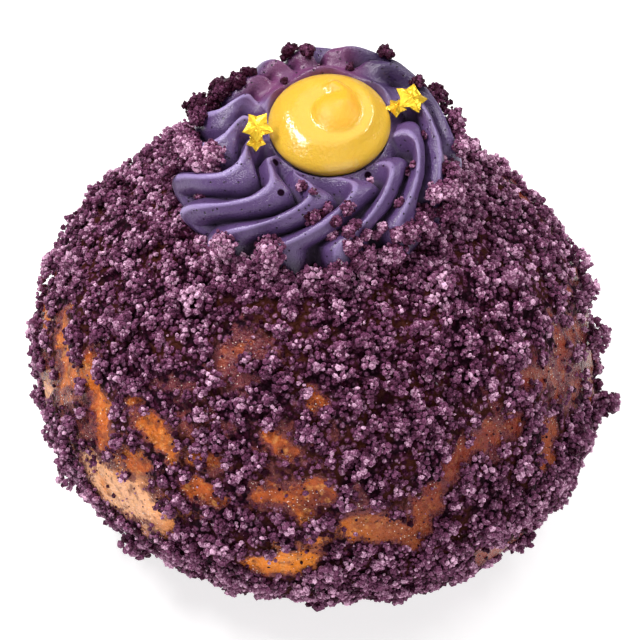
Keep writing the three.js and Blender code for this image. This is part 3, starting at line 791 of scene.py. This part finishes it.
def custard_point(azimuth, along):
    """The drop: its outline turned about the hollow's axis, nub and tail on top, leaning with the cream."""
    plan = custard_plan(azimuth, along)
    height = np.minimum(spline(DROP_OUTLINE, along)[..., 1], DROP_CREST) + top_rise(along, plan)
    height = TOP_HEIGHT + height + MIDDLE_LEAN * plan[..., 1]
    return np.stack([HOLLOW_SHIFT + plan[..., 0], plan[..., 1], height], -1)


def make_custard(finish):
    """The custard drop as one closed skin from under its middle to the nub's top."""
    along = np.linspace(0, 1, DROP_ROWS + 2)[1:-1, None]
    azimuth = np.linspace(0, FULL_TURN, DROP_COLUMNS, endpoint=False)[None, :]
    poles = custard_point(np.zeros(2), np.array([0.0, 1.0]))
    points = closed_skin(poles[0], custard_point(azimuth, along), poles[1])
    nub = smooth(*NUB_SHADE, top_rise(along, custard_plan(azimuth, along)))
    shares = {"nub": np.concatenate([[0], nub.ravel(), [1]])}
    triangles = turned_triangles(DROP_ROWS, DROP_COLUMNS)
    add_piece("custard_drop", points, triangles, finish, "custard", shares)


# The stars
def star_skin(radius, number):
    """A five-pointed star of foil: straight edges from tip to notch, an arm's middle raised, its tip bent.

    Rings run from the middle of the underside, round the rim, to the middle of the top.
    """
    angle = np.linspace(0, FULL_TURN, STAR_COLUMNS, endpoint=False)
    sector = FULL_TURN / STAR_POINTS
    notch_angle = sector / 2
    from_tip = np.abs(np.mod(angle + notch_angle, sector) - notch_angle)
    slant = np.sin(from_tip) + STAR_NOTCH * np.sin(notch_angle - from_tip)
    edge = STAR_NOTCH * math.sin(notch_angle) / slant
    outwards = np.linspace(0, 1, STAR_RINGS + 1)[1:]
    share = np.concatenate([outwards, outwards[::-1]])[:, None]
    side = np.repeat([-0.5, 0.5], STAR_RINGS)[:, None]
    arm = np.round(angle / sector) % STAR_POINTS
    bend = STAR_BEND * (draw(10 * number + 2 * arm, 6) - 0.5)
    facet = STAR_FACET * share * (1 - share) * from_tip / notch_angle
    crown = STAR_CROWN * (1 - share) - facet
    height = crown + bend * share**2 + side * FOIL * np.where(share < 1, 1, FOIL_RIM)
    reach = radius * share * edge
    skin = np.stack([reach * np.sin(angle), -reach * np.cos(angle), height * np.ones_like(reach)], -1)
    return skin, STAR_CROWN - FOIL / 2, STAR_CROWN + FOIL / 2


def turn_matrix(turn):
    """The rotation about X, then Y, then Z of the star's own axes, as nested turns."""
    x, y, z = np.radians(turn)
    about_x = np.array([[1, 0, 0], [0, np.cos(x), -np.sin(x)], [0, np.sin(x), np.cos(x)]])
    about_y = np.array([[np.cos(y), 0, np.sin(y)], [0, 1, 0], [-np.sin(y), 0, np.cos(y)]])
    about_z = np.array([[np.cos(z), -np.sin(z), 0], [np.sin(z), np.cos(z), 0], [0, 0, 1]])
    return about_x @ about_y @ about_z


def make_stars(finish):
    """Each star's skin turned and set in its place."""
    for number, (name, (at, turn, radius)) in enumerate(STARS.items()):
        skin, under, over = star_skin(radius, number)
        flat = closed_skin((0, 0, under), skin, (0, 0, over))
        flat[:, 2] += layered(flat, [(*FOIL_CREASES, 70 + number)])
        points = flat @ turn_matrix(turn).T + at
        triangles = turned_triangles(len(skin), skin.shape[1])
        add_piece(f"{name}_foil", points, triangles, finish, name, rounded=False)


# Finishes
def operator(operation, swapped=False):
    """A method of a shader value that adds one Math node."""
    def method(value, other):
        first, second = (other, value) if swapped else (value, other)
        return value.look.node("ShaderNodeMath", {0: first, 1: second}, operation=operation)
    return method


class Value:
    """A shader socket that takes part in Python expressions."""

    def __init__(self, look, socket):
        self.look = look
        self.socket = socket

    __add__ = operator("ADD")
    __radd__ = operator("ADD", swapped=True)
    __sub__ = operator("SUBTRACT")
    __rsub__ = operator("SUBTRACT", swapped=True)
    __mul__ = operator("MULTIPLY")
    __rmul__ = operator("MULTIPLY", swapped=True)

    def rise(self, low, high):
        """0 where the value is below low, 1 above high, eased between them."""
        sockets = {"Value": self, "From Min": low, "From Max": high}
        return self.look.node("ShaderNodeMapRange", sockets, interpolation_type="SMOOTHSTEP")

    def band(self, start, full, fading, end):
        """1 from full to fading, and 0 before the start and after the end, all in millimetres."""
        return self.rise(start * MM, full * MM) * (1 - self.rise(fading * MM, end * MM))

    def within(self, radius):
        """1 where the value is below a radius and 0 above it, with a soft edge."""
        return 1 - self.rise(0.7 * radius, 1.2 * radius)


class Finish:
    """A material under one shader, with one way of adding nodes."""

    def __init__(self, name):
        self.material = bpy.data.materials.new(name)
        self.material.use_nodes = True
        self.tree = self.material.node_tree
        self.tree.nodes.clear()
        self.place = self.node("ShaderNodeTexCoord", output="Object")

    def node(self, kind, sockets=None, output=0, **settings):
        """A node of that type, its settings set first and then its sockets."""
        made = self.tree.nodes.new(kind)
        for key, value in settings.items():
            setattr(made, key, value)
        for key, value in (sockets or {}).items():
            if isinstance(value, Value):
                self.tree.links.new(value.socket, made.inputs[key])
            else:
                made.inputs[key].default_value = value
        return Value(self, made.outputs[output])

    def mix(self, share, first, second):
        """A colour that goes from the first to the second with the share."""
        first, second = (colour if isinstance(colour, Value) else (*colour, 1) for colour in (first, second))
        return self.node("ShaderNodeMix", {0: share, 6: first, 7: second}, 2, data_type="RGBA")

    def axis(self, letter):
        """How far along X, Y or Z a place lies, in metres."""
        return self.node("ShaderNodeSeparateXYZ", {"Vector": self.place}, letter)

    def noise(self, size, detail=2.0):
        """Cloudy noise from 0 to 1 whose patches are about that many millimetres wide."""
        sockets = {"Vector": self.place, "Scale": 1 / (size * MM), "Detail": detail, "Roughness": 0.5}
        return self.node("ShaderNodeTexNoise", sockets)

    def cells(self, spacing):
        """A scattered pattern of cells: the distance to a cell's middle, and a chance value of the cell."""
        sockets = {"Vector": self.place, "Scale": 1 / (spacing * MM)}
        away = self.node("ShaderNodeTexVoronoi", sockets, "Distance")
        colour = self.node("ShaderNodeTexVoronoi", sockets, "Color")
        return away, self.node("ShaderNodeSeparateColor", {"Color": colour}, "Red")

    def dots(self, spacing, radius, share):
        """1 inside round spots of that radius, one in each of that share of a pattern's cells."""
        away, chance = self.cells(spacing)
        return away.within(radius / spacing) * (1 - chance.rise(share, share + 0.02))

    def pit(self, middle, radius):
        """1 inside a round hole about that place, and 0 outside it."""
        ends = {0: self.place, 1: Vector(middle) * MM}
        return self.node("ShaderNodeVectorMath", ends, "Value", operation="DISTANCE").within(radius * MM)

    def attribute(self, name):
        """A value that the piece's points carry."""
        return self.node("ShaderNodeAttribute", output="Fac", attribute_name=name)

    def bump(self, height, depth):
        """A surface direction from a height pattern that is that many millimetres deep."""
        return self.node("ShaderNodeBump", {"Height": height, "Distance": depth * MM, "Strength": 1.0})

    def principled(self, **sockets):
        """A Principled shader whose sockets have those values or links."""
        named = {key.replace("_", " "): value for key, value in sockets.items()}
        return self.node("ShaderNodeBsdfPrincipled", named)

    def close(self, shader):
        """Ends the material with that shader."""
        ending = self.tree.nodes.new("ShaderNodeOutputMaterial")
        self.tree.links.new(shader.socket, ending.inputs["Surface"])
        return self.material


def crumb_colour(look, tone):
    """Purple cake from nearly black to pale lilac by a tone from 0 to 1, with fine mottling."""
    light = (0.75 * tone + 0.7 * (look.noise(0.28, 2) - 0.5)).rise(0.0, 1.0)
    dark = look.mix(light.rise(0.0, 0.45), (0.024, 0.001, 0.009), (0.19, 0.056, 0.130))
    return look.mix(light.rise(0.38, 0.95), dark, (0.86, 0.52, 0.72))


def crust_finish():
    """Fried crust under a thin glaze, and the beaded bed of crumbs on it, mixed by the share of cover.

    The crust is golden in two bands, peach at the lower left, ruddy at the right and brown elsewhere. Pale
    dots in patches on the glaze are painted glints.
    A bead is a cell of a scattered pattern: its own tone, a round top, and a dark crease about it, which is
    painted shade, brown where crust shows through.
    """
    look = Finish("glazed_crust")
    cover = look.attribute("cover")
    across = look.axis("X")
    height = look.axis("Z")
    brown = look.mix(look.noise(3.2, 3).rise(0.36, 0.64), (0.16, 0.020, 0.009), (0.56, 0.108, 0.016))
    low_band = height.band(16, 20, 25, 30)
    left_band = height.band(29, 32, 37, 40) * (1 - across.rise(-19 * MM, -14 * MM))
    bands = (low_band + 0.4 * left_band).rise(0, 1)
    golden = look.mix(bands * look.noise(6.0).rise(0.25, 0.6), brown, (0.95, 0.27, 0.018))
    peach_share = low_band * (1 - across.rise(-27 * MM, -17 * MM)) * look.noise(3.0, 3).rise(0.15, 0.5)
    peach = look.mix(peach_share, golden, (1.0, 0.52, 0.29))
    ruddy = look.mix(0.85 * across.rise(-3 * MM, 12 * MM), peach, (0.22, 0.028, 0.020))
    pale_share = 0.45 * (1 - 0.7 * across.rise(0, 16 * MM)) * look.noise(0.9, 3).rise(0.5, 0.7)
    paler = look.mix(pale_share, ruddy, (0.88, 0.40, 0.11))
    browner = look.mix(0.6 * look.noise(1.3, 3).rise(0.5, 0.68), paler, (0.15, 0.024, 0.012))
    pinhole = look.dots(0.8, 0.13, 0.6)
    holed = look.mix(0.6 * pinhole, browner, (0.08, 0.014, 0.010))
    grit = look.dots(0.5, 0.22, 0.75) * (cover + 0.5 * (look.noise(2.5, 2) - 0.4)).rise(0.02, 0.4)
    stain = (cover + 0.9 * (look.noise(1.1, 4) - 0.45)).rise(0.05, 0.5)
    upper_left = height.rise(39 * MM, 42 * MM) * (1 - across.rise(-12 * MM, -6 * MM))
    stain_share = (stain * (1 - 0.25 * bands) + 0.7 * upper_left).rise(0, 1.25)
    stained = look.mix(stain_share, holed, (0.16, 0.030, 0.038))
    gritty = look.mix(0.8 * grit, stained, (0.15, 0.030, 0.050))
    # Painted glints: pale dots in patches on the glaze, bright under any light
    painted_glint = look.dots(0.55, 0.1, 0.8) * look.noise(5.0, 2).rise(0.4, 0.6)
    glinted = look.mix(0.85 * painted_glint, gritty, (1.0, 0.80, 0.70))
    wrinkles = look.bump(look.noise(0.5, 3) + look.noise(2.4, 2) - 0.6 * pinhole + 0.5 * grit, 0.5)
    glazed = look.principled(Base_Color=glinted, Roughness=0.24, Specular_IOR_Level=0.3, Normal=wrinkles)
    away, tone = look.cells(0.85)
    # Painted shade in the creases between beads, brown where crust shows through
    crease = look.mix(look.noise(6.0, 2).rise(0.45, 0.6), (0.010, 0.001, 0.005), (0.045, 0.010, 0.006))
    beaded = look.mix(away.rise(0.3, 0.62), crumb_colour(look, 0.7 * tone), crease)
    bed = look.principled(
        Base_Color=beaded, Roughness=0.6, Specular_IOR_Level=0.05, Normal=look.bump(1 - away * away, 0.6),
    )
    share = (cover + 0.6 * (look.noise(1.0, 2) - 0.5)).rise(0.5, 0.75)
    return look.close(look.node("ShaderNodeMixShader", {0: share, 1: glazed, 2: bed}))


def crumb_finish():
    """Moist purple cake, each grain of its own tone, with fine pores. The tones carry painted light on clump
    tops and painted shade on grains behind and low down.
    """
    look = Finish("cake_crumb")
    colour = crumb_colour(look, look.attribute("tone"))
    shader = look.principled(
        Base_Color=colour, Roughness=0.5, Coat_Weight=0.1, Coat_Roughness=0.15,
        Specular_IOR_Level=0.07, Normal=look.bump(look.noise(0.25, 2), 0.15),
    )
    return look.close(shader)


def cream_finish():
    """Whipped cream dyed bluish purple and redder behind, with flecks, and pores painted black as shade.

    Painted shade darkens the creases, the front foot and the back right, and painted highlights lighten the
    crests.
    """
    look = Finish("piped_cream")
    groove = look.attribute("groove")
    behind = look.axis("Y")
    across = look.axis("X")
    inner = look.attribute("inwards").rise(0.38, 0.5) * (1 - across.rise(5 * MM, 11 * MM))
    redder = inner * (behind + 0.02 * (look.noise(12.0, 2) - 0.5)).rise(0, 8 * MM)
    dyed = look.mix(redder, (0.112, 0.060, 0.178), (0.185, 0.046, 0.130))
    # Painted shade at the back right of the rosette
    back_shade = 0.9 * across.rise(3 * MM, 9 * MM) * behind.rise(0, 8 * MM)
    back_shaded = look.mix(back_shade, dyed, (0.030, 0.016, 0.056))
    streaked = look.mix(0.6 * look.noise(2.5, 3), back_shaded, (0.050, 0.022, 0.085))
    # Painted shade at the front foot of the rosette
    foot = (1 - look.attribute("inwards").rise(0.1, 0.28)) * (1 - behind.rise(-17 * MM, -10 * MM))
    # The left side, where light falls: more painted highlight on the crests and less painted shade in the
    # creases
    leftward = 1 - across.rise(-15 * MM, -5 * MM)
    # Painted shade in the creases, less on the left, and at the front foot
    shade = ((0.85 - 0.35 * leftward) * groove.rise(0.2, 1.0) + 0.9 * foot).rise(0, 1)
    shaded = look.mix(shade, streaked, (0.015, 0.004, 0.022))
    # Painted highlights along the crests, stronger on the left, none at the back right or on the redder part
    crest_highlight_share = (0.5 + 0.4 * leftward) * (1 - groove.rise(0.0, 0.07)) * (1 - back_shade) * (1 - redder)
    crest = look.mix(crest_highlight_share, shaded, (0.34, 0.25, 0.50))
    fleck = look.dots(0.9, 0.15, 0.7)
    # Painted shade: the holes are black and, being metallic, reflect nothing
    pits = sum(look.pit(middle, PIT_RADIUS) for middle in PITS)
    dull = (groove.rise(0.4, 0.9) + pits).rise(0, 1)
    flecked = look.mix((0.85 * fleck + pits).rise(0, 0.85), crest, (0.015, 0.004, 0.015))
    shader = look.principled(
        Base_Color=flecked, Roughness=0.31 + 0.5 * dull, Metallic=pits, Specular_IOR_Level=0.5,
        Normal=look.bump(look.noise(0.9, 3) + 0.8 * look.noise(0.22, 2) - 1.5 * fleck, 0.12),
    )
    return look.close(shader)


def custard_finish():
    """Set custard: glossy, slightly clear, the nub duller and of deeper colour."""
    look = Finish("set_custard")
    nub = look.attribute("nub")
    yellow = look.mix(look.noise(3.0, 3), (0.67, 0.385, 0.030), (0.71, 0.445, 0.058))
    shader = look.principled(
        Base_Color=look.mix(0.9 * nub, yellow, (0.78, 0.37, 0.004)), Roughness=0.15 + 0.4 * nub,
        Specular_IOR_Level=0.6, Subsurface_Weight=0.3, Subsurface_Radius=(0.004, 0.0025, 0.0006),
        Normal=look.bump(look.noise(0.5, 2), 0.07),
    )
    return look.close(shader)


def foil_finish():
    """Thin gold foil with fine creases."""
    look = Finish("gold_leaf_foil")
    shader = look.principled(
        Base_Color=look.mix(look.noise(1.2, 2), (1.0, 0.56, 0.015), (1.0, 0.70, 0.06)), Metallic=0.6,
        Roughness=0.25, Normal=look.bump(look.noise(0.7, 2), 0.22),
    )
    return look.close(shader)


def floor_finish():
    """Matt white board that glows a little, as on a light table."""
    look = Finish("white_board")
    colour = look.mix(look.noise(60.0), (0.46, 0.45, 0.45), (0.48, 0.47, 0.47))
    shader = look.principled(
        Base_Color=colour, Roughness=0.7, Emission_Color=(1, 1, 1, 1), Emission_Strength=0.75,
    )
    return look.close(shader)


# The setting
CAMERA_ELEVATION = math.radians(40)
CAMERA_DISTANCE = 550
CAMERA_TARGET = (0.27, 0, 30)
CAMERA_LENS = 209.1
SENSOR = 36.0
FLOOR_HALF = 3000
SURROUND_STRENGTH = 0.11
LAMP_TARGET = (0, 0, 30)
# Soft boxes: place, width, height and power
LAMPS = {
    "left_strip": ((-310, 20, 540), 420, 50, 3.7),
    "right_strip": ((300, 150, 390), 260, 30, 0.9),
    "top_box": ((60, 40, 700), 900, 900, 2.9),
    "front_box": ((170, -500, 210), 500, 500, 1.0),
}


def aim(thing, place, target):
    """Sets a lamp or a camera at a place, looking at the target."""
    thing.location = Vector(place) * MM
    thing.rotation_euler = (Vector(target) - Vector(place)).to_track_quat("-Z", "Y").to_euler()
    scene.collection.objects.link(thing)


def make_camera():
    """The photograph's view: from the front and above, with a long lens."""
    lens = bpy.data.cameras.new("camera")
    lens.sensor_width = SENSOR
    lens.lens = CAMERA_LENS
    lens.clip_start = 0.01
    camera = bpy.data.objects.new("camera", lens)
    back = Vector((0, -math.cos(CAMERA_ELEVATION), math.sin(CAMERA_ELEVATION)))
    aim(camera, Vector(CAMERA_TARGET) + CAMERA_DISTANCE * back, CAMERA_TARGET)
    scene.camera = camera


def make_lamp(name, place, width, height, power):
    """A rectangular soft box that faces the doughnut, its width level."""
    lamp = bpy.data.lights.new(name, "AREA")
    lamp.shape = "RECTANGLE"
    lamp.size = width * MM
    lamp.size_y = height * MM
    lamp.energy = power
    aim(bpy.data.objects.new(name, lamp), place, LAMP_TARGET)


def make_setting():
    """A white floor, four soft boxes, and an even pale surround."""
    corners = FLOOR_HALF * MM * np.array([(-1, -1, 0), (1, -1, 0), (1, 1, 0), (-1, 1, 0)])
    mesh = bpy.data.meshes.new("floor")
    mesh.from_pydata(corners.tolist(), [], [(0, 1, 2, 3)])
    mesh.materials.append(floor_finish())
    floor = bpy.data.objects.new("floor", mesh)
    scene.collection.objects.link(floor)
    for name, lamp in LAMPS.items():
        make_lamp(name, *lamp)
    world = bpy.data.worlds.new("surround")
    world.use_nodes = True
    background = world.node_tree.nodes["Background"]
    background.inputs["Color"].default_value = (1, 1, 1, 1)
    background.inputs["Strength"].default_value = SURROUND_STRENGTH
    scene.world = world
    scene.view_settings.view_transform = "Standard"


make_camera()
make_crust(crust_finish())
crumb = crumb_finish()
for kind_name, kind in CLUMP_KINDS.items():
    make_clumps(kind_name, *kind, crumb)
make_large_clumps(crumb)
make_foot_clumps(crumb)
make_cream_clumps(crumb)
make_single_grains("crumb_grains_loose", *LOOSE_GRAINS, grain_form, crumb)
make_single_grains("crumb_dust", *DUST, dust_form, crumb)
make_rosette(cream_finish())
make_custard(custard_finish())
make_stars(foil_finish())
make_setting()
